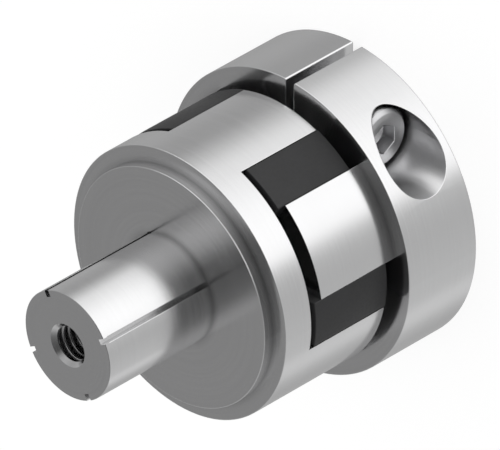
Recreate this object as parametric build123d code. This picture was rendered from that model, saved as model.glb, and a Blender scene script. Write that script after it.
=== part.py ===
from build123d import *
import math
import os

# Shaft coupling with an elastomer spider: an expanding mandrel half plugs into a clamping half.
# Row frame, millimetres: +Z is the shaft axis, z = 0 is the clamp hub's end face, the mandrel points up.
# Round pieces centre on the Z axis. The clamp slot lies towards +Y and the clamp screw's head towards +X.

# Stack along the axis, from the clamp end up
ring_length = 8.0
hub_distance = 10.0
flange_length = 3.0
raised_step = 1.0
mandrel_length = 12.0

# Outside diameters
ring_diameter = 28.2
hub_diameter = 25.0
raised_diameter = 22.0
mandrel_diameter = 10.0
edge_break = 0.03

# Claws of both hubs and teeth of the spider, which fills the hub distance but for its end gaps
jaw_count = 3
first_claw_angle = 90.0
clamp_claw_gap = 1.37
mandrel_claw_gap = 1.16
tooth_width_outer = 4.34
tooth_width_root = 3.4
tooth_clearance = 0.03
spider_clamp_gap = 1.0
spider_flange_gap = 0.55
spider_core_diameter = 13.0
spider_hole_diameter = 8.6
core_clearance = 0.1
spider_edge = 0.15

# Clamp bore and its slot
bore_diameter = 8.0
bore_chamfer = 0.3
slot_width = 0.95
slot_chamfer = 0.1

# Clamp screw: metric 3 socket head, its seat in the ring and its blind tapped hole
screw_below_crown = 4.55
screw_shift = 0.15
seat_distance = 3.95
clamp_pocket_diameter = 6.15
clamp_head_diameter = 5.5
clamp_head_height = 3.0
clamp_key_size = 2.5
clamp_key_depth = 1.3
clamp_key_turn = 32.0
clamp_screw_length = 10.0
clamp_thread_core = 2.387
clamp_tap_bore = 2.459
clamp_hole_diameter = 3.4
clamp_tap_reserve = 0.8

# Mandrel screw: metric 4 socket head, seated in the claw side of the flange
mandrel_pocket_diameter = 7.6
mandrel_pocket_depth = 1.5
mandrel_head_diameter = 7.0
mandrel_head_height = 4.0
mandrel_key_size = 3.0
mandrel_key_depth = 2.2
mandrel_key_turn = 0.0
mandrel_thread_grip = 6.0
mandrel_thread_core = 3.141
mandrel_hole_diameter = 4.5

# Expander cone and the slit sleeve round it
sleeve_wall = 0.6
cone_clearance = 0.02
cone_half_angle = 1.5
cone_below_face = 0.5
cone_run_in = 0.5
cone_tap_bore = 3.242
cone_mouth_diameter = 4.0
slit_width = 0.5
slit_angle = 30.0
slit_run_out = 0.1
slit_cuts = 2

# Details shared by both screws
head_edge = 0.3
key_mouth_chamfer = 0.04
drill_point_angle = 118.0
tip_chamfer = 0.35

# Levels worked out from the stack
ring_face = ring_length
flange_floor = ring_face + hub_distance
shoulder = flange_floor + flange_length
raised_face = shoulder + raised_step
mandrel_end = raised_face + mandrel_length
spider_bottom = ring_face + spider_clamp_gap
spider_top = flange_floor - spider_flange_gap
clamp_claw_tip = flange_floor - clamp_claw_gap
mandrel_claw_tip = ring_face + mandrel_claw_gap
clamp_axis_height = ring_length / 2 - screw_shift
mandrel_seat = flange_floor + mandrel_pocket_depth
cone_bottom = raised_face - cone_below_face
sleeve_bottom = cone_bottom - cone_run_in

# Radii and distances used by more than one piece
hub_radius = hub_diameter / 2
screw_offset = ring_diameter / 2 - screw_below_crown
core_radius = spider_core_diameter / 2
jaw_inner_radius = core_radius + core_clearance
tooth_count = 2 * jaw_count
tooth_pitch = 360.0 / tooth_count
taper = math.tan(math.radians(cone_half_angle))
sleeve_mouth_radius = mandrel_diameter / 2 - sleeve_wall
cut_margin = 1.0
FROM_BASE = (Align.CENTER, Align.CENTER, Align.MIN)


def turned(points):
    """Solid of revolution about Z from (radius, z) points."""
    outline = Polyline([(r, 0, z) for r, z in points], close=True)
    return revolve(make_face(outline), axis=Axis.Z, revolution_arc=360)


def flank_half_width(radius):
    """Half of a tooth's width at a radius, on the straight line from its root to its outer corner."""
    outer_half = tooth_width_outer / 2
    root_half = tooth_width_root / 2
    corner_radius = math.sqrt(hub_radius ** 2 - outer_half ** 2)
    share = (radius - core_radius) / (corner_radius - core_radius)
    return root_half + share * (outer_half - root_half)


def tooth_face():
    """Section of one spider tooth, pointing along +X, rooted inside the core ring."""
    inner = (core_radius + spider_hole_diameter / 2) / 2
    outer = hub_radius + cut_margin
    low = flank_half_width(inner)
    high = flank_half_width(outer)
    wedge = Polygon((inner, -low), (outer, -high), (outer, high), (inner, low), align=None)
    return wedge & Circle(hub_radius)


def claw_wedge():
    """Wedge along +X that one claw fills, bounded by its two neighbouring teeth."""
    turn = math.radians(tooth_pitch / 2)
    corners = []
    for radius in (jaw_inner_radius - cut_margin, hub_radius + 2 * cut_margin):
        reach = flank_half_width(radius) + tooth_clearance
        along = radius * math.cos(turn) + reach * math.sin(turn)
        across = radius * math.sin(turn) - reach * math.cos(turn)
        corners.append((along, across))
    (near, near_half), (far, far_half) = corners
    return Polygon((near, -near_half), (far, -far_half), (far, far_half), (near, near_half), align=None)


def claw_gaps(first_angle, bottom, top):
    """Cutter that leaves only the claws of a turned hub's collar, first_angle counted from +X."""
    section = Circle(hub_radius + cut_margin)
    for index in range(jaw_count):
        section -= Rot(0, 0, first_angle + index * 2 * tooth_pitch) * claw_wedge()
    return Pos(0, 0, bottom) * extrude(section, top - bottom)


def drill_point(radius):
    """Cone that a drill leaves, pointing down from z = 0."""
    depth = radius / math.tan(math.radians(drill_point_angle / 2))
    return Rot(180, 0, 0) * Cone(radius, 0, depth, align=FROM_BASE)


def key_socket(size, depth, turn):
    """Hexagon socket cut from z = 0 downwards, with a drill point below and a chamfered mouth."""
    flat = size / 2
    hexagon = Rot(0, 0, turn) * RegularPolygon(flat, 6, major_radius=False)
    wide = Rot(0, 0, turn) * RegularPolygon(flat + key_mouth_chamfer, 6, major_radius=False)
    mouth = loft([wide, Pos(0, 0, -key_mouth_chamfer) * hexagon])
    return extrude(hexagon, -depth) + Pos(0, 0, -depth) * drill_point(flat) + mouth


def socket_screw(head_diameter, head_height, thread_core, length, key_size, key_depth, key_turn):
    """Socket head screw along Z: seat at z = 0, head above it, thread core below it."""
    head = head_diameter / 2
    core = thread_core / 2
    outline = [
        (0, -length),
        (core - tip_chamfer, -length),
        (core, -length + tip_chamfer),
        (core, 0),
        (head, 0),
        (head, head_height - head_edge),
        (head - head_edge, head_height),
        (0, head_height),
    ]
    return turned(outline) - Pos(0, 0, head_height) * key_socket(key_size, key_depth, key_turn)


def make_mandrel_hub():
    """Flange with raised face, slit mandrel sleeve with a tapered mouth, and the claws below."""
    mandrel = mandrel_diameter / 2
    raised = raised_diameter / 2
    taper_end = sleeve_mouth_radius - (mandrel_end - sleeve_bottom) * taper
    outline = [
        (mandrel_pocket_diameter / 2, flange_floor),
        (jaw_inner_radius, flange_floor),
        (jaw_inner_radius, mandrel_claw_tip),
        (hub_radius, mandrel_claw_tip),
        (hub_radius, shoulder - edge_break),
        (hub_radius - edge_break, shoulder),
        (raised, shoulder),
        (raised, raised_face - edge_break),
        (raised - edge_break, raised_face),
        (mandrel, raised_face),
        (mandrel, mandrel_end - edge_break),
        (mandrel - edge_break, mandrel_end),
        (sleeve_mouth_radius, mandrel_end),
        (taper_end, sleeve_bottom),
        (mandrel_hole_diameter / 2, sleeve_bottom),
        (mandrel_hole_diameter / 2, mandrel_seat),
        (mandrel_pocket_diameter / 2, mandrel_seat),
    ]
    hub = turned(outline) - claw_gaps(first_claw_angle, mandrel_claw_tip, flange_floor)
    slit_length = mandrel_diameter + 2 * slit_run_out
    slit = Box(slit_length, slit_width, mandrel_length + cut_margin, align=FROM_BASE)
    for index in range(slit_cuts):
        hub -= Pos(0, 0, raised_face - slit_run_out) * Rot(0, 0, slit_angle + index * 180.0 / slit_cuts) * slit
    return hub


def make_expander_cone():
    """Tapered nut, flush with the mandrel's end, tapped right through."""
    big = sleeve_mouth_radius - cone_clearance
    small = big - (mandrel_end - cone_bottom) * taper
    tap = cone_tap_bore / 2
    mouth = cone_mouth_diameter / 2
    outline = [
        (tap, cone_bottom),
        (small, cone_bottom),
        (big, mandrel_end),
        (mouth, mandrel_end),
        (tap, mandrel_end - (mouth - tap)),
    ]
    return turned(outline)


def make_mandrel_screw():
    """Screw that draws the expander cone into the sleeve, its head facing down."""
    length = cone_bottom + mandrel_thread_grip - mandrel_seat
    screw = socket_screw(mandrel_head_diameter, mandrel_head_height, mandrel_thread_core,
                         length, mandrel_key_size, mandrel_key_depth, mandrel_key_turn)
    return Pos(0, 0, mandrel_seat) * Rot(180, 0, 0) * screw


def make_elastomer_spider():
    """Core ring with teeth that fill the gaps between the claws of both hubs."""
    section = Circle(core_radius) - Circle(spider_hole_diameter / 2)
    for index in range(tooth_count):
        section += Rot(0, 0, first_claw_angle + tooth_pitch * (index + 0.5)) * tooth_face()
    spider = extrude(section, spider_top - spider_bottom)
    rims = spider.faces().filter_by(Axis.Z).edges()
    return Pos(0, 0, spider_bottom) * chamfer(rims, spider_edge)


def make_clamp_hub():
    """Slit ring with a shaft bore, the clamp screw's pocket and tapped hole, and the claws above."""
    ring = ring_diameter / 2
    bore = bore_diameter / 2
    outline = [
        (bore + bore_chamfer, 0),
        (ring - edge_break, 0),
        (ring, edge_break),
        (ring, ring_face - edge_break),
        (ring - edge_break, ring_face),
        (hub_radius, ring_face),
        (hub_radius, clamp_claw_tip),
        (jaw_inner_radius, clamp_claw_tip),
        (jaw_inner_radius, ring_face),
        (bore, ring_face),
        (bore, bore_chamfer),
    ]
    hub = turned(outline) - claw_gaps(first_claw_angle + tooth_pitch, ring_face, clamp_claw_tip)
    slot_height = ring_length + 2 * cut_margin
    slot = Box(slot_width, ring + cut_margin, slot_height, align=(Align.CENTER, Align.MIN, Align.MIN))
    hub -= Pos(0, 0, -cut_margin) * slot
    mouth_half = slot_width / 2 + slot_chamfer
    mouth_level = math.sqrt(ring ** 2 - mouth_half ** 2)
    groove = Polygon((-mouth_half - cut_margin, mouth_level + cut_margin), (0, mouth_level - mouth_half),
                     (mouth_half + cut_margin, mouth_level + cut_margin), align=None)
    hub -= Pos(0, 0, -cut_margin) * extrude(groove, slot_height)
    across = Pos(0, screw_offset, clamp_axis_height) * Rot(0, 90, 0)
    pocket = Cylinder(clamp_pocket_diameter / 2, ring, align=FROM_BASE)
    passage = Cylinder(clamp_hole_diameter / 2, seat_distance, align=FROM_BASE)
    tap_radius = clamp_tap_bore / 2
    tap_depth = clamp_screw_length - seat_distance + clamp_tap_reserve
    tapped = Rot(180, 0, 0) * Cylinder(tap_radius, tap_depth, align=FROM_BASE)
    hub -= across * Pos(0, 0, seat_distance) * pocket
    hub -= across * passage
    hub -= across * tapped
    hub -= across * Pos(0, 0, -tap_depth) * drill_point(tap_radius)
    return hub


def make_clamp_screw():
    """Screw across the slot, head sunk in its pocket on the +X side."""
    screw = socket_screw(clamp_head_diameter, clamp_head_height, clamp_thread_core,
                         clamp_screw_length, clamp_key_size, clamp_key_depth, clamp_key_turn)
    return Pos(seat_distance, screw_offset, clamp_axis_height) * Rot(0, 90, 0) * screw


os.makedirs("parts", exist_ok=True)
nodes = {
    "clamp_hub": make_clamp_hub(),
    "clamp_screw": make_clamp_screw(),
    "elastomer_spider": make_elastomer_spider(),
    "mandrel_hub": make_mandrel_hub(),
    "expander_cone": make_expander_cone(),
    "mandrel_screw": make_mandrel_screw(),
}
for name, shape in nodes.items():
    export_step(shape, f"parts/{name}.step")
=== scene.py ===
import math

import bmesh
import bpy
from bpy.props import FloatProperty, FloatVectorProperty, IntProperty, PointerProperty
from bpy.types import Operator, Panel, PropertyGroup
from mathutils import Matrix, Vector


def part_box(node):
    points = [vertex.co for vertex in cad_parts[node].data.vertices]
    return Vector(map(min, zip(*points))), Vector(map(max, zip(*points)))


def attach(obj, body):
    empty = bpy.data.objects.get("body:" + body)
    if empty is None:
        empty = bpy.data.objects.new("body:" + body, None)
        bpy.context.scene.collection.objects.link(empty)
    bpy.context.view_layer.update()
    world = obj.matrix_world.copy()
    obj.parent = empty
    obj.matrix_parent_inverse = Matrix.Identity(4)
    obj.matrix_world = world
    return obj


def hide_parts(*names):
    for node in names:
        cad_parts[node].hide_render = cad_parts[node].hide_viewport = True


bl_info = {
    "name": "Shaft coupling",
    "version": (1, 0, 0),
    "blender": (4, 5, 0),
    "location": "3D View > Sidebar > Coupling",
    "description": "Dresses the frame of a jaw coupling with threads, an elastomer spider, "
                   "finishes and a studio",
    "category": "Object",
}

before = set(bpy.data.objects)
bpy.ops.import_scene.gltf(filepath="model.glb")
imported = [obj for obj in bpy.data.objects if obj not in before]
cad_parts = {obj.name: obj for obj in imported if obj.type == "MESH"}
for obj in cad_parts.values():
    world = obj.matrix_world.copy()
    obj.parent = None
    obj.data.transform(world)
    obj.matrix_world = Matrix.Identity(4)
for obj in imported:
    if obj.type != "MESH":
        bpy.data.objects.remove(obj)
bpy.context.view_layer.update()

MM = 0.001
FULL_TURN = 2 * math.pi

# Mesh building
MERGE_DISTANCE = 2e-6
CUT_DISTANCE = 1e-8
SHARP_ANGLE = math.radians(28)
FLANK_ANGLE = math.radians(30)
DRILL_HALF_ANGLE = math.radians(59)
HEXAGON_SIDES = 6
ROUNDING_SEGMENTS = 3
ROUNDED_ANGLE = 0.6

# Socket head screws: where the thread runs out below the seat, in pitches, how far the face under the
# head stays clear of the core, how wide the flat round the socket starts, and the broken edges
THREAD_RUN_OUT = 0.4
FILLET_SHARE = 0.12
RIM_FACTOR = 1.28
SEAT_BREAK = 0.05 * MM
BREAK_ALONG = 0.04 * MM
BREAK_ACROSS = 0.02 * MM

# Where the pieces stand in the row frame, from the frame itself
spider_low, spider_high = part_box("elastomer_spider")
cone_low, cone_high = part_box("expander_cone")
clamp_screw_low, clamp_screw_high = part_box("clamp_screw")
mandrel_screw_low, mandrel_screw_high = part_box("mandrel_screw")
spider_height = spider_high.z - spider_low.z
cone_height = cone_high.z - cone_low.z
cone_radius = (cone_high.x - cone_low.x) / 2
clamp_screw_length = clamp_screw_high.x - clamp_screw_low.x
mandrel_screw_length = mandrel_screw_high.z - mandrel_screw_low.z
clamp_screw_axis = (clamp_screw_low + clamp_screw_high) / 2


def length(name, description, default):
    """A length in metres that a user may change."""
    return FloatProperty(name=name, description=description, default=default, min=0.0,
                         precision=6, unit="LENGTH")


def share(name, description, default):
    """A factor from 0 to 1."""
    return FloatProperty(name=name, description=description, default=default, min=0.0, max=1.0,
                         subtype="FACTOR")


def colour(name, description, default):
    """A plain colour without alpha."""
    return FloatVectorProperty(name=name, description=description, default=default, min=0.0,
                               max=1.0, size=3, subtype="COLOR")


class ThreadSizes(PropertyGroup):
    """Metric thread of a screw."""

    pitch: length("Pitch", "Distance from one thread crest to the next", 0.7 * MM)
    crest_radius: length("Crest radius", "Outer radius of the thread", 1.96 * MM)
    core_radius: length("Core radius", "Radius at the root of the thread", 1.5705 * MM)
    crest_flat: length("Crest flat", "Width of the flat on the crests", 0.0875 * MM)
    flank_rows: IntProperty(name="Flank rows", description="Steps on each thread flank",
                            default=3, min=1)
    steps: IntProperty(name="Steps", description="Steps of the helix in one turn",
                       default=96, min=24)


class ScrewSizes(PropertyGroup):
    """Socket head screw."""

    head_radius: length("Head radius", "Radius of the round head", 2.75 * MM)
    head_height: length("Head height", "Height of the head above its seat", 3.0 * MM)
    head_edge: length("Head edge", "Chamfer of the head's top edge", 0.3 * MM)
    tip_chamfer: length("Tip chamfer", "Chamfer inside the core at the tip", 0.35 * MM)
    key_size: length("Key size", "Width across the flats of the hexagon socket", 2.5 * MM)
    key_depth: length("Key depth", "Depth of the hexagon's flats", 1.3 * MM)
    key_mouth: length("Key mouth", "Chamfer at the socket's mouth", 0.04 * MM)
    key_turn: FloatProperty(name="Key turn", description="Turn of the hexagon about the screw's axis",
                            default=0.0, subtype="ANGLE")


class ConeSizes(PropertyGroup):
    """Tapered nut with an internal thread, which takes its pitch from the mandrel screw."""

    half_angle: FloatProperty(name="Half angle", description="Angle between the taper and the axis",
                              default=math.radians(1.5), min=0.0, subtype="ANGLE")
    ground_fit: length("Ground fit", "How much closer the ground taper fits than the frame's cone",
                       0.016 * MM)
    bore_radius: length("Bore radius", "Radius at the crests of the internal thread", 1.621 * MM)
    groove_radius: length("Groove radius", "Radius at the bottom of the thread grooves", 2.0 * MM)
    groove_flat: length("Groove flat", "Width of the flat at the bottom of the grooves", 0.07 * MM)


class SpiderSizes(PropertyGroup):
    """Elastomer ring with teeth."""

    core_radius: length("Core radius", "Outer radius of the ring that joins the teeth", 6.5 * MM)
    hole_radius: length("Hole radius", "Radius of the hole in the middle", 4.3 * MM)
    tooth_radius: length("Tooth radius", "Radius of the teeth's outer faces", 12.5 * MM)
    root_width: length("Root width", "Width of a tooth at the ring", 3.4 * MM)
    outer_width: length("Outer width", "Width of a tooth at its outer face", 4.34 * MM)
    rounding: length("Rounding", "Moulded rounding of the outer edges", 0.1 * MM)
    teeth: IntProperty(name="Teeth", description="Number of teeth", default=6, min=2)
    columns: IntProperty(name="Columns", description="Mesh columns round the ring",
                         default=144, min=36)


class Finishes(PropertyGroup):
    """Colours and roughness of the surfaces."""

    aluminium: colour("Aluminium", "Bare turned aluminium of both hubs", (0.80, 0.80, 0.805))
    aluminium_roughness: share("Aluminium roughness", "Roughness of the hubs", 0.19)
    cone_steel: colour("Cone steel", "Ground steel of the expander cone", (0.79, 0.79, 0.795))
    cone_roughness: share("Cone roughness", "Roughness of the expander cone", 0.2)
    screw_steel: colour("Screw steel", "Bright plated steel of the screws", (0.62, 0.62, 0.63))
    screw_roughness: share("Screw roughness", "Roughness of the screws", 0.34)
    elastomer: colour("Elastomer", "Dark grey elastomer of the spider", (0.024, 0.024, 0.025))
    elastomer_roughness: share("Elastomer roughness", "Roughness of the spider", 0.5)


class Studio(PropertyGroup):
    """Camera, floor and light."""

    lens: FloatProperty(name="Lens", description="Focal length in millimetres", default=906.317)
    camera_place: FloatVectorProperty(name="Camera place", description="Place of the camera", size=3,
                                      default=(0.61223744, 0.59179666, 0.63172052),
                                      precision=6, subtype="TRANSLATION")
    camera_right: FloatVectorProperty(name="Camera right", size=3,
                                      description="Direction of the picture's right side",
                                      default=(0.709187, 0.003850, -0.705010),
                                      subtype="DIRECTION")
    camera_up: FloatVectorProperty(name="Camera up", description="Direction of the picture's top",
                                   size=3, default=(-0.397733, 0.827849, -0.395569),
                                   subtype="DIRECTION")
    floor_colour: colour("Floor colour", "Pale floor", (0.82, 0.82, 0.82))
    floor_size: length("Floor size", "Length of the floor's sides", 6.0)
    soft_level: FloatProperty(name="Soft level", default=0.6, min=0.0,
                              description="Plain light that the room gives from all sides")
    key_power: FloatProperty(name="Key power", description="Power of the large soft lamp", default=1.6,
                             min=0.0, unit="POWER")
    fill_power: FloatProperty(name="Fill power", description="Power of the small soft lamp", default=0.5,
                              min=0.0, unit="POWER")


# Meshes


def new_piece(name, bm, material, body, node):
    """Makes a piece of the bmesh, gives it its finish and puts it in the place of its CAD node."""
    bmesh.ops.remove_doubles(bm, verts=bm.verts, dist=MERGE_DISTANCE)
    bmesh.ops.recalc_face_normals(bm, faces=bm.faces)
    open_edges = [edge for edge in bm.edges if not edge.is_manifold]
    if open_edges:
        raise RuntimeError(f"{name} has {len(open_edges)} open edges")
    mesh = bpy.data.meshes.new(name)
    bm.to_mesh(mesh)
    bm.free()
    mesh.shade_smooth()
    mesh.set_sharp_from_angle(angle=SHARP_ANGLE)
    mesh.materials.append(material)
    piece = bpy.data.objects.new(name, mesh)
    bpy.context.scene.collection.objects.link(piece)
    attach(piece, body)
    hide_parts(node)
    return piece


def spun(bm, points, steps):
    """Surface of revolution about Z from (radius, height) points."""
    verts = [bm.verts.new((radius, 0.0, height)) for radius, height in points]
    edges = [bm.edges.new(pair) for pair in zip(verts, verts[1:])]
    bmesh.ops.spin(bm, geom=verts + edges, cent=(0, 0, 0), axis=(0, 0, 1), angle=FULL_TURN,
                   steps=steps, use_merge=True)


def helix(bm, profile, pitch, steps):
    """Surface swept along a right-hand helix from (radius, height) points that repeat every pitch."""
    verts = [bm.verts.new((radius, 0.0, height)) for radius, height in profile]
    edges = [bm.edges.new(pair) for pair in zip(verts, verts[1:])]
    bmesh.ops.spin(bm, geom=verts + edges, cent=(0, 0, 0), axis=(0, 0, 1), angle=FULL_TURN,
                   dvec=(0, 0, pitch / steps), steps=steps, use_merge=False)
    bmesh.ops.remove_doubles(bm, verts=bm.verts, dist=MERGE_DISTANCE)


def thread_profile(low, high, centre, pitch, flat, flat_radius, other_radius, rows):
    """(radius, height) points of a thread from below low to above high.

    Its flats lie on flat_radius, one of them centred on centre, and its flanks end on other_radius.
    """
    reach = abs(flat_radius - other_radius) * math.tan(FLANK_ANGLE)
    first = math.floor((low - centre) / pitch) - 1
    last = math.ceil((high - centre) / pitch) + 1
    points = []
    for turn in range(first, last + 1):
        middle = centre + turn * pitch
        for row in range(rows):
            part = row / rows
            points.append((other_radius + part * (flat_radius - other_radius),
                           middle - flat / 2 - reach * (1 - part)))
        points.append((flat_radius, middle - flat / 2))
        points.append((flat_radius, middle + flat / 2))
        for row in range(1, rows + 1):
            part = 1 - row / rows
            points.append((other_radius + part * (flat_radius - other_radius),
                           middle + flat / 2 + reach * (1 - part)))
    return points


def radius_of(vert):
    """Distance of a vertex from Z."""
    return math.hypot(vert.co.x, vert.co.y)


def set_radius(vert, radius):
    """Moves a vertex straight out from or in towards Z."""
    factor = radius / radius_of(vert)
    vert.co.x *= factor
    vert.co.y *= factor


def set_polar(vert, radius, angle):
    """Puts a vertex at a radius and an angle about Z, at the height that it has."""
    vert.co.x = radius * math.cos(angle)
    vert.co.y = radius * math.sin(angle)


def cut(bm, height, clear_below=False, clear_above=False):
    """Cuts the surface along a level plane, and clears what lies on one side where it is told to."""
    geom = list(bm.verts) + list(bm.edges) + list(bm.faces)
    bmesh.ops.bisect_plane(bm, geom=geom, dist=CUT_DISTANCE, plane_co=(0, 0, height),
                           plane_no=(0, 0, 1), clear_inner=clear_below, clear_outer=clear_above)


def open_loop(bm, height):
    """Open edges at a height."""
    return [edge for edge in bm.edges if (edge.is_boundary or edge.is_wire)
            and all(abs(vert.co.z - height) <= MERGE_DISTANCE for vert in edge.verts)]


def fill_ring(bm, edges):
    """Fills the flat ring between two loops at one height."""
    bmesh.ops.triangle_fill(bm, edges=edges, use_beauty=True, normal=(0, 0, 1))


def extrude_loop(bm, edges):
    """Copies a loop of edges, joins the two with faces, and returns the new vertices and edges."""
    made = bmesh.ops.extrude_edge_only(bm, edges=edges)["geom"]
    verts = [item for item in made if isinstance(item, bmesh.types.BMVert)]
    edges = [item for item in made if isinstance(item, bmesh.types.BMEdge)
             and all(vert in verts for vert in item.verts)]
    return verts, edges


def socket(bm, sizes, top, steps):
    """Hexagon socket from the height top down, with a chamfered mouth and a drill point below."""
    flat = sizes.key_size / 2
    mouth = (flat + sizes.key_mouth) / math.cos(FULL_TURN / 2 / HEXAGON_SIDES)
    ring = bmesh.ops.create_circle(bm, segments=HEXAGON_SIDES, radius=mouth, cap_ends=False)["verts"]
    turn = Matrix.Rotation(sizes.key_turn - FULL_TURN / 4, 3, "Z")
    bmesh.ops.rotate(bm, verts=ring, cent=(0, 0, 0), matrix=turn)
    bmesh.ops.translate(bm, verts=ring, vec=(0, 0, top))
    edges = list({edge for vert in ring for edge in vert.link_edges})
    cuts = steps // HEXAGON_SIDES - 1
    split = bmesh.ops.subdivide_edges(bm, edges=edges, cuts=cuts)["geom_split"]
    edges = [item for item in split if isinstance(item, bmesh.types.BMEdge)]
    verts, edges = extrude_loop(bm, edges)
    shrink = flat / (flat + sizes.key_mouth)
    bmesh.ops.scale(bm, verts=verts, vec=(shrink, shrink, 1))
    bmesh.ops.translate(bm, verts=verts, vec=(0, 0, -sizes.key_mouth))
    verts, edges = extrude_loop(bm, edges)
    bmesh.ops.translate(bm, verts=verts, vec=(0, 0, sizes.key_mouth - sizes.key_depth))
    verts, edges = extrude_loop(bm, edges)
    for vert in verts:
        set_radius(vert, flat)
    verts, edges = extrude_loop(bm, edges)
    bottom = Vector((0, 0, top - sizes.key_depth - flat / math.tan(DRILL_HALF_ANGLE)))
    bmesh.ops.pointmerge(bm, verts=verts, merge_co=bottom)


def screw_mesh(sizes, length_over_all, thread):
    """Socket head screw along Z: seat at z = 0, head above it, real thread below it."""
    bm = bmesh.new()
    core, crest, pitch = thread.core_radius, thread.crest_radius, thread.pitch
    shank = length_over_all - sizes.head_height
    profile = thread_profile(-shank, 0.0, 0.0, pitch, thread.crest_flat, crest, core,
                             thread.flank_rows)
    helix(bm, profile, pitch, thread.steps)
    for vert in bm.verts:
        fade = min(max(-vert.co.z / pitch - THREAD_RUN_OUT, 0.0), 1.0)
        run_out = core + fade * (crest - core)
        chamfer = core - sizes.tip_chamfer + max(vert.co.z + shank, 0.0)
        set_radius(vert, min(radius_of(vert), run_out, chamfer))
    cut(bm, -shank, clear_below=True)
    cut(bm, 0.0, clear_above=True)
    bmesh.ops.holes_fill(bm, edges=open_loop(bm, -shank), sides=0)
    shank_top = open_loop(bm, 0.0)

    head, top, edge = sizes.head_radius, sizes.head_height, sizes.head_edge
    spun(bm, [(core + FILLET_SHARE * (head - core), 0.0),
              (head - SEAT_BREAK, 0.0),
              (head, SEAT_BREAK),
              (head, top - edge - BREAK_ALONG),
              (head - BREAK_ACROSS, top - edge),
              (head - edge, top - BREAK_ACROSS),
              (head - edge - BREAK_ALONG, top),
              (RIM_FACTOR * sizes.key_size / 2, top)], thread.steps)
    head_low = [item for item in open_loop(bm, 0.0) if item not in shank_top]
    fill_ring(bm, shank_top + head_low)
    socket(bm, sizes, top, thread.steps)
    fill_ring(bm, open_loop(bm, top))
    return bm


def cone_mesh(sizes, thread, ridge):
    """Tapered nut at its place in the row frame, threaded right through.

    ridge is the height of a crest of the screw in it. The mouth at the mandrel's end is a clean
    cone, and the hidden one only widens the thread, so that the screw passes.
    """
    bm = bmesh.new()
    low, high = cone_low.z, cone_high.z
    profile = thread_profile(low, high, ridge, thread.pitch, sizes.groove_flat, sizes.groove_radius,
                             sizes.bore_radius, thread.flank_rows)
    helix(bm, profile, thread.pitch, thread.steps)
    mouth_depth = sizes.groove_radius - sizes.bore_radius
    cut(bm, low + mouth_depth)
    cut(bm, high - mouth_depth)
    for vert in bm.verts:
        if high - vert.co.z < mouth_depth + MERGE_DISTANCE:
            set_radius(vert, sizes.groove_radius - max(high - vert.co.z, 0.0))
        elif vert.co.z - low < mouth_depth:
            lead_in = sizes.groove_radius - max(vert.co.z - low, 0.0)
            set_radius(vert, max(radius_of(vert), lead_in))
    cut(bm, low, clear_below=True)
    cut(bm, high, clear_above=True)
    bores = [(height, open_loop(bm, height)) for height in (low, high)]
    for height, bore in bores:
        for edge in bore:
            for vert in edge.verts:
                set_radius(vert, sizes.groove_radius)
    mouth_radius = cone_radius + sizes.ground_fit
    foot_radius = mouth_radius - math.tan(sizes.half_angle) * cone_height
    spun(bm, [(foot_radius, low), (mouth_radius, high)], 2 * thread.steps)
    for height, bore in bores:
        outer = [item for item in open_loop(bm, height) if item not in bore]
        fill_ring(bm, bore + outer)
    return bm


def spider_mesh(sizes):
    """Ring with teeth at its place in the row frame, its outer edges rounded as moulded."""
    bm = bmesh.new()
    bmesh.ops.create_circle(bm, segments=sizes.columns, radius=sizes.hole_radius)
    outer = bmesh.ops.create_circle(bm, segments=sizes.columns, radius=sizes.core_radius)["verts"]
    pitch = FULL_TURN / sizes.teeth
    column = FULL_TURN / sizes.columns
    root_half = math.asin(sizes.root_width / 2 / sizes.core_radius)
    outer_half = math.asin(sizes.outer_width / 2 / sizes.tooth_radius)
    root_columns = round(root_half / column)

    def from_tooth(co):
        """Angle of a point from the middle of the nearest tooth, and that middle's angle."""
        angle = math.atan2(co.y, co.x)
        middle = round(angle / pitch) * pitch
        return angle - middle, middle

    for vert in outer:
        off, middle = from_tooth(vert.co)
        if abs(abs(off) / column - root_columns) < 0.5:
            set_polar(vert, sizes.core_radius, middle + math.copysign(root_half, off))
    bmesh.ops.bridge_loops(bm, edges=list(bm.edges))
    bmesh.ops.translate(bm, verts=bm.verts, vec=(0, 0, spider_low.z))
    made = bmesh.ops.extrude_face_region(bm, geom=list(bm.faces), use_keep_orig=True)["geom"]
    lifted = [item for item in made if isinstance(item, bmesh.types.BMVert)]
    bmesh.ops.translate(bm, verts=lifted, vec=(0, 0, spider_height))
    walls = []
    for face in bm.faces:
        on_rim = all(abs(radius_of(vert) - sizes.core_radius) < MERGE_DISTANCE for vert in face.verts)
        if on_rim and abs(from_tooth(face.calc_center_median())[0]) < root_half:
            walls.append(face)
    made = bmesh.ops.extrude_face_region(bm, geom=walls, use_keep_orig=True)["geom"]
    bmesh.ops.delete(bm, geom=walls, context="FACES")
    for vert in [item for item in made if isinstance(item, bmesh.types.BMVert)]:
        off, middle = from_tooth(vert.co)
        set_polar(vert, sizes.tooth_radius, middle + off * outer_half / root_half)
    bmesh.ops.recalc_face_normals(bm, faces=bm.faces)
    outer_edges = [edge for edge in bm.edges
                   if edge.is_manifold and edge.calc_face_angle_signed() > ROUNDED_ANGLE]
    bmesh.ops.bevel(bm, geom=outer_edges, offset=sizes.rounding, offset_type="OFFSET",
                    segments=ROUNDING_SEGMENTS, profile=0.5, affect="EDGES", material=-1,
                    clamp_overlap=True)
    return bm


# Finishes

UPRIGHT = (0.0, 0.0, 0.0)
ALONG_X = (0.0, math.pi / 2, 0.0)
ON_AXIS = (0.0, 0.0, 0.0)

# Turning marks: spacing, share by which they change the colour, and height of their relief
HUB_MARKS = (0.16 * MM, 0.015, 0.0003 * MM)
CONE_MARKS = (0.14 * MM, 0.015, 0.0003 * MM)
SCREW_MARKS = (0.12 * MM, 0.03, 0.0004 * MM)
FINE_SHARE = 0.5
STREAK_STRETCH = 60.0
FACE_LIMIT = 0.7

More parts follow.
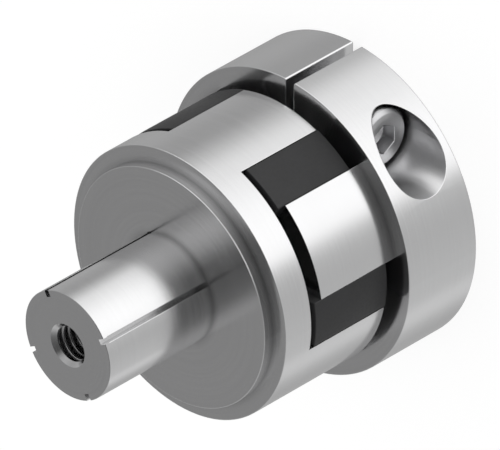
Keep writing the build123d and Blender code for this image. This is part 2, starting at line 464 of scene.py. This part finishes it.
# Noises: scale, detail and roughness, with the scale of clouds and specks counted in one cloud size.
# Most of what a noise gives lies in the middle span.
STREAK_NOISE = (1.0, 2.0, 0.6)
FINE_NOISE = (2.7, 1.0, 0.5)
CLOUD_NOISE = (1.0, 3.0, 0.55)
SPECK_NOISE = (12.0, 2.0, 0.7)
GRAIN_NOISE = (9000.0, 2.0, 0.5)
MIDDLE_SPAN = (0.3, 0.7)

# Metal: what the effects do to its colour and roughness
STREAK_ROUGHNESS = (-0.02, 0.02)
CLOUD_SPAN = (0.35, 0.7)
CLOUD_SHARE = 0.12
CLOUD_TONE = 0.93
CLOUD_ROUGHNESS = (-0.015, 0.02)
# Edge wear, whose lighter tone also paints a highlight along edges
WEAR_GAIN = 6.0
WEAR_BASE = 0.4
WEAR_AND_HIGHLIGHT_SHARE = 0.5
WEAR_AND_HIGHLIGHT_TONE = 1.12
WEAR_SHINE = 0.03
# Painted shade: how far the corner occlusion looks, and how it darkens the colour towards black in
# closed corners
CORNER_OCCLUSION_DISTANCE = 0.8 * MM
CORNER_SHADE_SPAN = (0.2, 0.95)
CORNER_SHADE_TONE = 0.62
ROUNDED_SPAN = (0.7, 0.9)
GROUND_LENGTH = 0.45 * MM
POCKET_RADIUS = 3.075 * MM
POCKET_TOLERANCE = 0.03 * MM
POCKET_ROUGHNESS = 0.14

# Elastomer
BLOOM_SIZE = 3 * MM
BLOOM_SPAN = (0.35, 0.75)
BLOOM_TONES = (0.92, 1.15)
# Rubbed edges of the elastomer, lighter as wear and as a painted highlight
RUBBED_AND_HIGHLIGHT_TONE = 1.6
SPECK_ROUGHNESS = (-0.05, 0.05)
GRAIN_HEIGHT = 0.004 * MM
GRAIN_STRENGTH = 0.6


def nodes_of(tree):
    """Short ways to add a node and to link two sockets in a tree."""

    def add(kind, **values):
        node = tree.nodes.new(kind)
        for name, value in values.items():
            setattr(node, name, value)
        return node

    return add, tree.links.new


def feed(tree, target, value):
    """Links a socket to a node's input, or gives the input a plain value."""
    if isinstance(value, bpy.types.NodeSocket):
        tree.links.new(value, target)
    else:
        target.default_value = value


def math_node(tree, operation, *values):
    """Math node with numbers or sockets as its inputs."""
    node = tree.nodes.new("ShaderNodeMath")
    node.operation = operation
    for target, value in zip(node.inputs, values):
        feed(tree, target, value)
    return node.outputs["Value"]


def distance_node(tree, first, second):
    """Length of the diagonal over two sides."""
    squares = [math_node(tree, "MULTIPLY", side, side) for side in (first, second)]
    return math_node(tree, "SQRT", math_node(tree, "ADD", *squares))


def noise(tree, place, scale, detail, roughness):
    """Noise over a place, which is a vector or a single number."""
    node = tree.nodes.new("ShaderNodeTexNoise")
    single = place.type == "VALUE"
    node.noise_dimensions = "1D" if single else "3D"
    tree.links.new(place, node.inputs["W" if single else "Vector"])
    feed(tree, node.inputs["Scale"], scale)
    node.inputs["Detail"].default_value = detail
    node.inputs["Roughness"].default_value = roughness
    return node.outputs["Fac"]


def parts_of(tree, vector):
    """The three numbers of a vector."""
    node = tree.nodes.new("ShaderNodeSeparateXYZ")
    tree.links.new(vector, node.inputs["Vector"])
    return node.outputs["X"], node.outputs["Y"], node.outputs["Z"]


def group(name, inputs, outputs):
    """Empty shader node group with (name, kind, default) inputs and (name, kind) outputs."""
    tree = bpy.data.node_groups.new(name, "ShaderNodeTree")
    for label, kind, default in inputs:
        item = tree.interface.new_socket(label, in_out="INPUT", socket_type=kind)
        if default is not None:
            item.default_value = default
    for label, kind in outputs:
        tree.interface.new_socket(label, in_out="OUTPUT", socket_type=kind)
    return tree, tree.nodes.new("NodeGroupInput"), tree.nodes.new("NodeGroupOutput")


def turning_marks_group():
    """Fine streaks that a lathe leaves: rings on end faces, and lines round walls."""
    tree, given, result = group("Turning marks", [
        ("Position", "NodeSocketVector", None),
        ("Normal", "NodeSocketVector", None),
        ("Spacing", "NodeSocketFloat", 0.15 * MM),
    ], [("Streaks", "NodeSocketFloat"), ("Fine", "NodeSocketFloat")])
    add, link = nodes_of(tree)
    x, y, z = parts_of(tree, given.outputs["Position"])
    facing = parts_of(tree, given.outputs["Normal"])[2]
    on_face = math_node(tree, "GREATER_THAN", math_node(tree, "ABSOLUTE", facing), FACE_LIMIT)
    along_radius = math_node(tree, "MULTIPLY", distance_node(tree, x, y), on_face)
    along_axis = math_node(tree, "MULTIPLY", z, math_node(tree, "SUBTRACT", 1.0, on_face))
    travel = math_node(tree, "DIVIDE", math_node(tree, "ADD", along_radius, along_axis),
                       given.outputs["Spacing"])
    spread = add("ShaderNodeCombineXYZ")
    link(math_node(tree, "MULTIPLY", x, STREAK_STRETCH), spread.inputs["X"])
    link(math_node(tree, "MULTIPLY", y, STREAK_STRETCH), spread.inputs["Y"])
    link(travel, spread.inputs["Z"])
    link(noise(tree, spread.outputs["Vector"], *STREAK_NOISE), result.inputs["Streaks"])
    link(noise(tree, travel, *FINE_NOISE), result.inputs["Fine"])
    return tree


def handling_group():
    """Slow changes of a surface that has been handled: faint clouds and small specks."""
    tree, given, result = group("Handling", [
        ("Position", "NodeSocketVector", None),
        ("Cloud size", "NodeSocketFloat", 5 * MM),
    ], [("Clouds", "NodeSocketFloat"), ("Specks", "NodeSocketFloat")])
    for label, (per_cloud, detail, roughness) in (("Clouds", CLOUD_NOISE), ("Specks", SPECK_NOISE)):
        scale = math_node(tree, "DIVIDE", per_cloud, given.outputs["Cloud size"])
        tree.links.new(noise(tree, given.outputs["Position"], scale, detail, roughness),
                       result.inputs[label])
    return tree


def broken_edge_group():
    """Width of the rounding of outer edges: none in corners and on the mandrel's ground end."""
    tree, given, result = group("Broken edges", [
        ("Position", "NodeSocketVector", None),
        ("Openness", "NodeSocketFloat", 1.0),
        ("Ground height", "NodeSocketFloat", 1.0),
        ("Full width", "NodeSocketFloat", 0.1 * MM),
    ], [("Width", "NodeSocketFloat")])
    height = parts_of(tree, given.outputs["Position"])[2]
    below_end = math_node(tree, "LESS_THAN", height, given.outputs["Ground height"])
    out_of_corner = ranged(tree, given.outputs["Openness"], ROUNDED_SPAN)
    rounded = math_node(tree, "MULTIPLY", below_end, out_of_corner)
    tree.links.new(math_node(tree, "MULTIPLY", given.outputs["Full width"], rounded),
                   result.inputs["Width"])
    return tree


def bored_pocket_group():
    """Mask of the wall of a bored pocket that lies along X."""
    tree, given, result = group("Bored pocket", [
        ("Position", "NodeSocketVector", None),
        ("Centre", "NodeSocketVector", None),
        ("Radius", "NodeSocketFloat", 0.0),
    ], [("Mask", "NodeSocketFloat")])
    add, link = nodes_of(tree)
    offset = add("ShaderNodeVectorMath", operation="SUBTRACT")
    link(given.outputs["Position"], offset.inputs[0])
    link(given.outputs["Centre"], offset.inputs[1])
    x, y, z = parts_of(tree, offset.outputs["Vector"])
    at_wall = math_node(tree, "COMPARE", distance_node(tree, y, z), given.outputs["Radius"],
                        POCKET_TOLERANCE)
    on_head_side = math_node(tree, "GREATER_THAN", x, 0.0)
    link(math_node(tree, "MULTIPLY", at_wall, on_head_side), result.inputs["Mask"])
    return tree


def edge_wear_and_highlight_group():
    """Mask of the narrow zone along edges, where the surface is burnished by handling and where a
    highlight is painted.
    """
    tree, given, result = group("Edge wear and highlight", [
        ("Specks", "NodeSocketFloat", 0.5),
        ("Width", "NodeSocketFloat", 0.12 * MM),
    ], [("Mask", "NodeSocketFloat")])
    add, link = nodes_of(tree)
    rounded = add("ShaderNodeBevel", samples=4)
    link(given.outputs["Width"], rounded.inputs["Radius"])
    geometry = add("ShaderNodeNewGeometry")
    compare = add("ShaderNodeVectorMath", operation="DOT_PRODUCT")
    link(rounded.outputs["Normal"], compare.inputs[0])
    link(geometry.outputs["Normal"], compare.inputs[1])
    turned = math_node(tree, "SUBTRACT", 1.0, compare.outputs["Value"])
    strong = math_node(tree, "MULTIPLY", turned, WEAR_GAIN)
    patchy = math_node(tree, "ADD", given.outputs["Specks"], WEAR_BASE)
    worn = math_node(tree, "MULTIPLY", strong, patchy)
    link(math_node(tree, "MINIMUM", worn, 1.0), result.inputs["Mask"])
    return tree


def placed_group(tree, name, build, **values):
    """Node that holds a shared group, which is built when it is first asked for."""
    node = tree.nodes.new("ShaderNodeGroup")
    node.node_tree = bpy.data.node_groups.get(name) or build()
    for label, value in values.items():
        feed(tree, node.inputs[label.replace("_", " ")], value)
    return node


def mixed_colour(tree, factor, first, second):
    """Mix node between two colours, each a socket or three numbers."""
    node = tree.nodes.new("ShaderNodeMix")
    node.data_type = "RGBA"
    tree.links.new(factor, node.inputs["Factor"])
    targets = [item for item in node.inputs if item.type == "RGBA"]
    for target, value in zip(targets, (first, second)):
        feed(tree, target, (*value, 1.0) if isinstance(value, tuple) else value)
    return next(item for item in node.outputs if item.type == "RGBA")


def scaled(value, factor):
    """Colour made lighter or darker, kept within 1."""
    return tuple(min(channel * factor, 1.0) for channel in value)


def ranged(tree, value, span, to_span=(0.0, 1.0), interpolation="LINEAR"):
    """Map Range node, clamped, from a (low, high) span to another one."""
    node = tree.nodes.new("ShaderNodeMapRange")
    node.interpolation_type = interpolation
    tree.links.new(value, node.inputs["Value"])
    for label, number in zip(("From Min", "From Max", "To Min", "To Max"), (*span, *to_span)):
        node.inputs[label].default_value = number
    return node.outputs["Result"]


def new_material(name):
    """Material with a Principled shader, and the coordinates that patterns on the piece read."""
    material = bpy.data.materials.new(name)
    material.use_nodes = True
    tree = material.node_tree
    tree.nodes.clear()
    output = tree.nodes.new("ShaderNodeOutputMaterial")
    shader = tree.nodes.new("ShaderNodeBsdfPrincipled")
    tree.links.new(shader.outputs["BSDF"], output.inputs["Surface"])
    place = tree.nodes.new("ShaderNodeTexCoord")
    return material, tree, shader, place


def machined_metal(name, base, roughness, axis_turn, axis_place, turning):
    """Turned metal with streaks round its axis, faint clouds, burnished edges that also carry a painted
    highlight, and painted shade that darkens its corners.

    axis_turn and axis_place bring the piece's own axis onto Z before the streaks are read, and
    turning is one of the sets of turning marks.
    """
    spacing, streak_share, relief = turning
    material, tree, shader, place = new_material(name)
    add, link = nodes_of(tree)
    centred = add("ShaderNodeMapping", vector_type="TEXTURE")
    centred.inputs["Location"].default_value = axis_place
    centred.inputs["Rotation"].default_value = axis_turn
    link(place.outputs["Object"], centred.inputs["Vector"])
    facing = add("ShaderNodeMapping", vector_type="TEXTURE")
    facing.inputs["Rotation"].default_value = axis_turn
    link(place.outputs["Normal"], facing.inputs["Vector"])
    # How closed in each point is: it narrows the edge rounding and paints shade into the colour
    corner_occlusion = add("ShaderNodeAmbientOcclusion", samples=8)
    corner_occlusion.inputs["Distance"].default_value = CORNER_OCCLUSION_DISTANCE

    marks = placed_group(tree, "Turning marks", turning_marks_group,
                         Position=centred.outputs["Vector"], Normal=facing.outputs["Vector"],
                         Spacing=spacing)
    handling = placed_group(tree, "Handling", handling_group, Position=place.outputs["Object"])
    edges = placed_group(tree, "Broken edges", broken_edge_group,
                         Position=place.outputs["Object"], Openness=corner_occlusion.outputs["AO"],
                         Ground_height=cone_high.z - GROUND_LENGTH)
    edge_wear_and_highlight = placed_group(tree, "Edge wear and highlight", edge_wear_and_highlight_group,
                        Specks=handling.outputs["Specks"], Width=edges.outputs["Width"])
    pocket = placed_group(tree, "Bored pocket", bored_pocket_group,
                          Position=place.outputs["Object"], Radius=POCKET_RADIUS,
                          Centre=(0.0, clamp_screw_axis.y, clamp_screw_axis.z))
    streaks, clouds = marks.outputs["Streaks"], handling.outputs["Clouds"]

    colour_now = mixed_colour(tree, ranged(tree, streaks, MIDDLE_SPAN),
                              scaled(base, 1 - streak_share), scaled(base, 1 + streak_share))
    colour_now = mixed_colour(tree, ranged(tree, clouds, CLOUD_SPAN, (0.0, CLOUD_SHARE)),
                              colour_now, scaled(base, CLOUD_TONE))
    # Wear along edges, lighter as burnishing and as a painted highlight
    colour_now = mixed_colour(tree, ranged(tree, edge_wear_and_highlight.outputs["Mask"], (0.0, 1.0), (0.0, WEAR_AND_HIGHLIGHT_SHARE)),
                              colour_now, scaled(base, WEAR_AND_HIGHLIGHT_TONE))
    # Painted shade: the colour darkens towards black in closed corners
    colour_now = mixed_colour(tree, ranged(tree, corner_occlusion.outputs["AO"], CORNER_SHADE_SPAN, (CORNER_SHADE_TONE, 1.0)),
                              (0.0, 0.0, 0.0), colour_now)
    link(colour_now, shader.inputs["Base Color"])

    rough = math_node(tree, "ADD", ranged(tree, streaks, MIDDLE_SPAN, STREAK_ROUGHNESS),
                      ranged(tree, clouds, MIDDLE_SPAN, CLOUD_ROUGHNESS))
    rough = math_node(tree, "ADD", rough, roughness)
    rough = math_node(tree, "SUBTRACT", rough,
                      math_node(tree, "MULTIPLY", edge_wear_and_highlight.outputs["Mask"], WEAR_SHINE))
    rough = math_node(tree, "ADD", rough,
                      math_node(tree, "MULTIPLY", pocket.outputs["Mask"], POCKET_ROUGHNESS))
    link(rough, shader.inputs["Roughness"])

    rounded = add("ShaderNodeBevel", samples=8)
    link(edges.outputs["Width"], rounded.inputs["Radius"])
    bump = add("ShaderNodeBump")
    bump.inputs["Strength"].default_value = 1.0
    bump.inputs["Distance"].default_value = relief
    fine = math_node(tree, "MULTIPLY", marks.outputs["Fine"], FINE_SHARE)
    link(math_node(tree, "ADD", streaks, fine), bump.inputs["Height"])
    link(rounded.outputs["Normal"], bump.inputs["Normal"])
    link(bump.outputs["Normal"], shader.inputs["Normal"])
    shader.inputs["Metallic"].default_value = 1.0
    return material


def elastomer_finish(finishes):
    """Dark moulded elastomer: matt, with a fine mould texture, faint bloom, and rubbed edges lightened
    as wear and as a painted highlight.
    """
    material, tree, shader, place = new_material("Spider elastomer")
    add, link = nodes_of(tree)
    handling = placed_group(tree, "Handling", handling_group, Position=place.outputs["Object"],
                            Cloud_size=BLOOM_SIZE)
    edge_wear_and_highlight = placed_group(tree, "Edge wear and highlight", edge_wear_and_highlight_group, Specks=handling.outputs["Specks"])
    base = tuple(finishes.elastomer)
    bloom = mixed_colour(tree, ranged(tree, handling.outputs["Clouds"], BLOOM_SPAN),
                         *[scaled(base, tone) for tone in BLOOM_TONES])
    # Rubbed edges, lighter as wear and as a painted highlight
    rubbed_and_highlight = mixed_colour(tree, ranged(tree, edge_wear_and_highlight.outputs["Mask"], (0.0, 1.0), (0.0, WEAR_AND_HIGHLIGHT_SHARE)),
                          bloom, scaled(base, RUBBED_AND_HIGHLIGHT_TONE))
    link(rubbed_and_highlight, shader.inputs["Base Color"])
    rough = ranged(tree, handling.outputs["Specks"], MIDDLE_SPAN, SPECK_ROUGHNESS)
    link(math_node(tree, "ADD", rough, finishes.elastomer_roughness), shader.inputs["Roughness"])
    bump = add("ShaderNodeBump")
    bump.inputs["Strength"].default_value = GRAIN_STRENGTH
    bump.inputs["Distance"].default_value = GRAIN_HEIGHT
    link(noise(tree, place.outputs["Object"], *GRAIN_NOISE), bump.inputs["Height"])
    link(bump.outputs["Normal"], shader.inputs["Normal"])
    return material


def dress(node_name, material):
    """Gives a CAD node its finish."""
    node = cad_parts[node_name]
    if not node.material_slots:
        node.data.materials.append(material)
    for slot in node.material_slots:
        slot.material = material


# Stage

# What shiny surfaces see: three rings of grey levels, each with (degrees from +Y towards +X, level)
# stops, and between which heights of the view one ring fades into the next
PANEL_PEAK = 1.5
FLOOR_LEVEL = 0.35
LOW_RING = (
    (-180, 0.50), (-166, 0.42), (-146, 0.42), (-126, 0.36), (-86, 0.42), (-60, 0.37), (-46, 0.42),
    (-30, 0.68), (-20, 0.88), (-8, 0.98), (14, 1.15), (36, 1.24), (58, 1.24), (67, 1.15), (74, 0.80),
    (82, 0.58), (94, 0.51), (110, 0.51), (134, 0.55), (152, 0.58), (160, 0.68), (172, 0.62), (180, 0.50),
)
MIDDLE_RING = (
    (-180, 0.52), (-134, 0.48), (-100, 0.43), (-72, 0.44), (-56, 0.60), (-44, 1.0), (-30, 1.25),
    (20, 1.3), (56, 1.28), (72, 0.95), (88, 0.60), (110, 0.50), (140, 0.53), (180, 0.52),
)
HIGH_RING = (
    (-180, 0.36), (-160, 0.34), (-134, 0.255), (-94, 0.30), (-58, 0.35), (-34, 0.43), (-10, 0.43),
    (14, 0.30), (38, 0.12), (62, 0.08), (110, 0.12), (134, 0.17), (158, 0.30), (180, 0.36),
)
BELOW_LOW = (-0.82, -0.67)
LOW_TO_MIDDLE = (-0.5, -0.25)
MIDDLE_TO_HIGH = (0.17, 0.52)

# The floor as the camera sees it, and the lamps
FLOOR_SEEN = (0.28, 0.28, 0.28)
FLOOR_GLOW = 0.80
KEY_PLACE = (0.5, 0.3, 0.75)
FILL_PLACE = (-0.5, -0.4, 0.6)
LAMP_SIZE = 0.6

SENSOR_WIDTH = 36.0
CLIP_START = 0.1
CLIP_END = 20.0


def grey(level):
    """Colour of a level, as a share of the brightest one."""
    return (level / PANEL_PEAK,) * 3


def studio_ring(tree, bearing, stops):
    """Colour ramp that turns a bearing from 0 to 1 into the grey levels of a ring."""
    ramp = tree.nodes.new("ShaderNodeValToRGB")
    ramp.color_ramp.interpolation = "CARDINAL"
    elements = ramp.color_ramp.elements
    while len(elements) > 1:
        elements.remove(elements[-1])
    for index, (degrees, level) in enumerate(stops):
        position = (degrees + 180.0) / 360.0
        element = elements[0] if index == 0 else elements.new(position)
        element.position = position
        element.color = (*grey(level), 1.0)
    tree.links.new(bearing, ramp.inputs["Fac"])
    return ramp.outputs["Color"]


def seen_through(tree):
    """1 for what the camera sees straight or through a clear surface, otherwise 0."""
    kind = tree.nodes.new("ShaderNodeLightPath")
    return math_node(tree, "MAXIMUM", kind.outputs["Is Camera Ray"],
                     kind.outputs["Is Transmission Ray"])


def studio_world(studio):
    """White to the camera, plain soft light for matt surfaces, and grey and white panels for gloss."""
    world = bpy.data.worlds.new("Studio")
    bpy.context.scene.world = world
    world.use_nodes = True
    world.cycles.sampling_method = "NONE"
    tree = world.node_tree
    tree.nodes.clear()
    add, link = nodes_of(tree)
    x, y, z = parts_of(tree, add("ShaderNodeTexCoord").outputs["Generated"])
    angle = math_node(tree, "ARCTAN2", x, y)
    bearing = math_node(tree, "MULTIPLY_ADD", angle, 1 / FULL_TURN, 0.5)
    panels = grey(FLOOR_LEVEL)
    for fade, stops in ((BELOW_LOW, LOW_RING), (LOW_TO_MIDDLE, MIDDLE_RING),
                        (MIDDLE_TO_HIGH, HIGH_RING)):
        rise = ranged(tree, z, fade, interpolation="SMOOTHSTEP")
        panels = mixed_colour(tree, rise, panels, studio_ring(tree, bearing, stops))
    gloss = add("ShaderNodeLightPath").outputs["Is Glossy Ray"]
    lit = mixed_colour(tree, gloss, grey(studio.soft_level), panels)
    seen = mixed_colour(tree, seen_through(tree), lit, grey(1.0))
    background = add("ShaderNodeBackground")
    background.inputs["Strength"].default_value = PANEL_PEAK
    link(seen, background.inputs["Color"])
    output = add("ShaderNodeOutputWorld")
    link(background.outputs["Background"], output.inputs["Surface"])


def studio_floor(studio):
    """Pale floor at z = 0 that is white to the camera and keeps the coupling's soft shadow.

    It casts no shadow itself, so that the shading of corners doesn't count it as a neighbour.
    """
    material = bpy.data.materials.new("Pale floor")
    material.use_nodes = True
    tree = material.node_tree
    tree.nodes.clear()
    add, link = nodes_of(tree)
    matt = add("ShaderNodeBsdfDiffuse")
    matt.inputs["Color"].default_value = (*studio.floor_colour, 1.0)
    seen = add("ShaderNodeBsdfDiffuse")
    seen.inputs["Color"].default_value = (*FLOOR_SEEN, 1.0)
    glow = add("ShaderNodeEmission")
    glow.inputs["Strength"].default_value = FLOOR_GLOW
    both = add("ShaderNodeAddShader")
    link(seen.outputs["BSDF"], both.inputs[0])
    link(glow.outputs["Emission"], both.inputs[1])
    choice = add("ShaderNodeMixShader")
    link(seen_through(tree), choice.inputs["Fac"])
    link(matt.outputs["BSDF"], choice.inputs[1])
    link(both.outputs["Shader"], choice.inputs[2])
    output = add("ShaderNodeOutputMaterial")
    link(choice.outputs["Shader"], output.inputs["Surface"])
    material.cycles.emission_sampling = "NONE"
    bm = bmesh.new()
    bmesh.ops.create_grid(bm, x_segments=1, y_segments=1, size=studio.floor_size / 2)
    mesh = bpy.data.meshes.new("floor")
    bm.to_mesh(mesh)
    bm.free()
    mesh.materials.append(material)
    floor = bpy.data.objects.new("floor", mesh)
    bpy.context.scene.collection.objects.link(floor)
    floor.visible_glossy = False
    floor.visible_shadow = False


def soft_lamp(name, place, power):
    """Area lamp that faces the coupling and leaves the reflections to the studio's panels."""
    lamp = bpy.data.lights.new(name, "AREA")
    lamp.shape = "SQUARE"
    lamp.size = LAMP_SIZE
    lamp.energy = power
    holder = bpy.data.objects.new(name, lamp)
    bpy.context.scene.collection.objects.link(holder)
    holder.location = place
    holder.rotation_mode = "QUATERNION"
    holder.rotation_quaternion = (-Vector(place)).to_track_quat("-Z", "Y")
    holder.visible_glossy = False
    holder.visible_camera = False


def photo_camera(studio):
    """Camera at the photograph's viewing angle."""
    data = bpy.data.cameras.new("Photo camera")
    data.lens = studio.lens
    data.sensor_width = SENSOR_WIDTH
    data.clip_start = CLIP_START
    data.clip_end = CLIP_END
    camera = bpy.data.objects.new("Photo camera", data)
    bpy.context.scene.collection.objects.link(camera)
    right = Vector(studio.camera_right).normalized()
    up = Vector(studio.camera_up)
    up = (up - right * up.dot(right)).normalized()
    back = right.cross(up)
    turn = Matrix((right, up, back)).transposed().to_4x4()
    camera.matrix_world = Matrix.Translation(Vector(studio.camera_place)) @ turn
    bpy.context.scene.camera = camera


# Operators


class COUPLING_OT_hubs(Operator):
    """Gives both hubs their turned aluminium finish"""

    bl_idname = "coupling.hubs"
    bl_label = "Dress the hubs"

    def execute(self, context):
        finishes = context.scene.coupling_finishes
        metal = machined_metal("Hub aluminium", tuple(finishes.aluminium),
                               finishes.aluminium_roughness, UPRIGHT, ON_AXIS, HUB_MARKS)
        dress("clamp_hub", metal)
        dress("mandrel_hub", metal)
        return {"FINISHED"}


class COUPLING_OT_clamp_screw(Operator):
    """Builds the metric 3 clamp screw with its thread and hexagon socket"""

    bl_idname = "coupling.clamp_screw"
    bl_label = "Build the clamp screw"

    def execute(self, context):
        scene = context.scene
        sizes = scene.coupling_clamp_screw
        finishes = scene.coupling_finishes
        bm = screw_mesh(sizes, clamp_screw_length, scene.coupling_clamp_thread)
        seat = Vector((clamp_screw_high.x - sizes.head_height, clamp_screw_axis.y, clamp_screw_axis.z))
        turn = Matrix.Rotation(FULL_TURN / 4, 4, "Y")
        bmesh.ops.transform(bm, verts=bm.verts, matrix=Matrix.Translation(seat) @ turn)
        steel = machined_metal("Clamp screw steel", tuple(finishes.screw_steel),
                               finishes.screw_roughness, ALONG_X, seat, SCREW_MARKS)
        new_piece("clamp_screw_threaded", bm, steel, "clamp_screw", "clamp_screw")
        return {"FINISHED"}


class COUPLING_OT_mandrel_screw(Operator):
    """Builds the metric 4 screw that draws the expander cone in"""

    bl_idname = "coupling.mandrel_screw"
    bl_label = "Build the mandrel screw"

    def execute(self, context):
        scene = context.scene
        sizes = scene.coupling_mandrel_screw
        finishes = scene.coupling_finishes
        bm = screw_mesh(sizes, mandrel_screw_length, scene.coupling_mandrel_thread)
        seat = Vector((0.0, 0.0, mandrel_screw_low.z + sizes.head_height))
        turn = Matrix.Rotation(FULL_TURN / 2, 4, "X")
        bmesh.ops.transform(bm, verts=bm.verts, matrix=Matrix.Translation(seat) @ turn)
        steel = machined_metal("Mandrel screw steel", tuple(finishes.screw_steel),
                               finishes.screw_roughness, UPRIGHT, ON_AXIS, SCREW_MARKS)
        new_piece("mandrel_screw_threaded", bm, steel, "mandrel_screw", "mandrel_screw")
        return {"FINISHED"}


class COUPLING_OT_expander_cone(Operator):
    """Builds the expander cone with its internal thread"""

    bl_idname = "coupling.expander_cone"
    bl_label = "Build the expander cone"

    def execute(self, context):
        scene = context.scene
        seat = mandrel_screw_low.z + scene.coupling_mandrel_screw.head_height
        bm = cone_mesh(scene.coupling_cone, scene.coupling_mandrel_thread, seat)
        finishes = scene.coupling_finishes
        steel = machined_metal("Cone steel", tuple(finishes.cone_steel), finishes.cone_roughness,
                               UPRIGHT, ON_AXIS, CONE_MARKS)
        new_piece("expander_cone_threaded", bm, steel, "expander_cone", "expander_cone")
        return {"FINISHED"}


class COUPLING_OT_spider(Operator):
    """Builds the elastomer spider with moulded edges"""

    bl_idname = "coupling.spider"
    bl_label = "Build the spider"

    def execute(self, context):
        scene = context.scene
        bm = spider_mesh(scene.coupling_spider)
        new_piece("spider_moulded", bm, elastomer_finish(scene.coupling_finishes),
                  "spider", "elastomer_spider")
        return {"FINISHED"}


class COUPLING_OT_stage(Operator):
    """Sets up the floor, the light and the camera"""

    bl_idname = "coupling.stage"
    bl_label = "Set the stage"

    def execute(self, context):
        scene = context.scene
        studio = scene.coupling_studio
        scene.view_settings.view_transform = "Standard"
        studio_world(studio)
        studio_floor(studio)
        soft_lamp("Key lamp", KEY_PLACE, studio.key_power)
        soft_lamp("Fill lamp", FILL_PLACE, studio.fill_power)
        photo_camera(studio)
        return {"FINISHED"}


class COUPLING_PT_panel(Panel):
    """Steps that dress the coupling, and their sizes"""

    bl_idname = "COUPLING_PT_panel"
    bl_label = "Shaft coupling"
    bl_space_type = "VIEW_3D"
    bl_region_type = "UI"
    bl_category = "Coupling"

    def draw(self, context):
        for operator in OPERATORS:
            self.layout.operator(operator.bl_idname)
        for name, kind in SETTINGS.items():
            settings = getattr(context.scene, name)
            box = self.layout.box()
            box.label(text=name.replace("coupling_", "").replace("_", " ").capitalize())
            for entry in kind.__annotations__:
                box.prop(settings, entry)


OPERATORS = (
    COUPLING_OT_hubs,
    COUPLING_OT_clamp_screw,
    COUPLING_OT_mandrel_screw,
    COUPLING_OT_expander_cone,
    COUPLING_OT_spider,
    COUPLING_OT_stage,
)
SETTINGS = {
    "coupling_clamp_screw": ScrewSizes,
    "coupling_clamp_thread": ThreadSizes,
    "coupling_mandrel_screw": ScrewSizes,
    "coupling_mandrel_thread": ThreadSizes,
    "coupling_cone": ConeSizes,
    "coupling_spider": SpiderSizes,
    "coupling_finishes": Finishes,
    "coupling_studio": Studio,
}
CLASSES = tuple(dict.fromkeys(SETTINGS.values())) + OPERATORS + (COUPLING_PT_panel,)

# Sizes that differ from the defaults above: the clamp screw is metric 3, the mandrel screw metric 4
PRESETS = {
    "coupling_clamp_screw": {"key_turn": math.radians(32.0)},
    "coupling_clamp_thread": {"pitch": 0.5 * MM, "crest_radius": 1.48 * MM,
                              "core_radius": 1.1935 * MM, "crest_flat": 0.0625 * MM},
    "coupling_mandrel_screw": {"head_radius": 3.5 * MM, "head_height": 4.0 * MM,
                               "key_size": 3.0 * MM, "key_depth": 2.2 * MM},
}


def register():
    """Registers the classes and puts their settings on the scene."""
    for item in CLASSES:
        bpy.utils.register_class(item)
    for name, kind in SETTINGS.items():
        setattr(bpy.types.Scene, name, PointerProperty(type=kind))


def unregister():
    """Takes the settings and the classes away again."""
    for name in SETTINGS:
        delattr(bpy.types.Scene, name)
    for item in reversed(CLASSES):
        bpy.utils.unregister_class(item)


def main():
    """Builds every piece and the stage."""
    register()
    for group_name, values in PRESETS.items():
        for name, value in values.items():
            setattr(getattr(bpy.context.scene, group_name), name, value)
    bpy.ops.coupling.hubs()
    bpy.ops.coupling.clamp_screw()
    bpy.ops.coupling.mandrel_screw()
    bpy.ops.coupling.expander_cone()
    bpy.ops.coupling.spider()
    bpy.ops.coupling.stage()


if __name__ == "__main__":
    main()
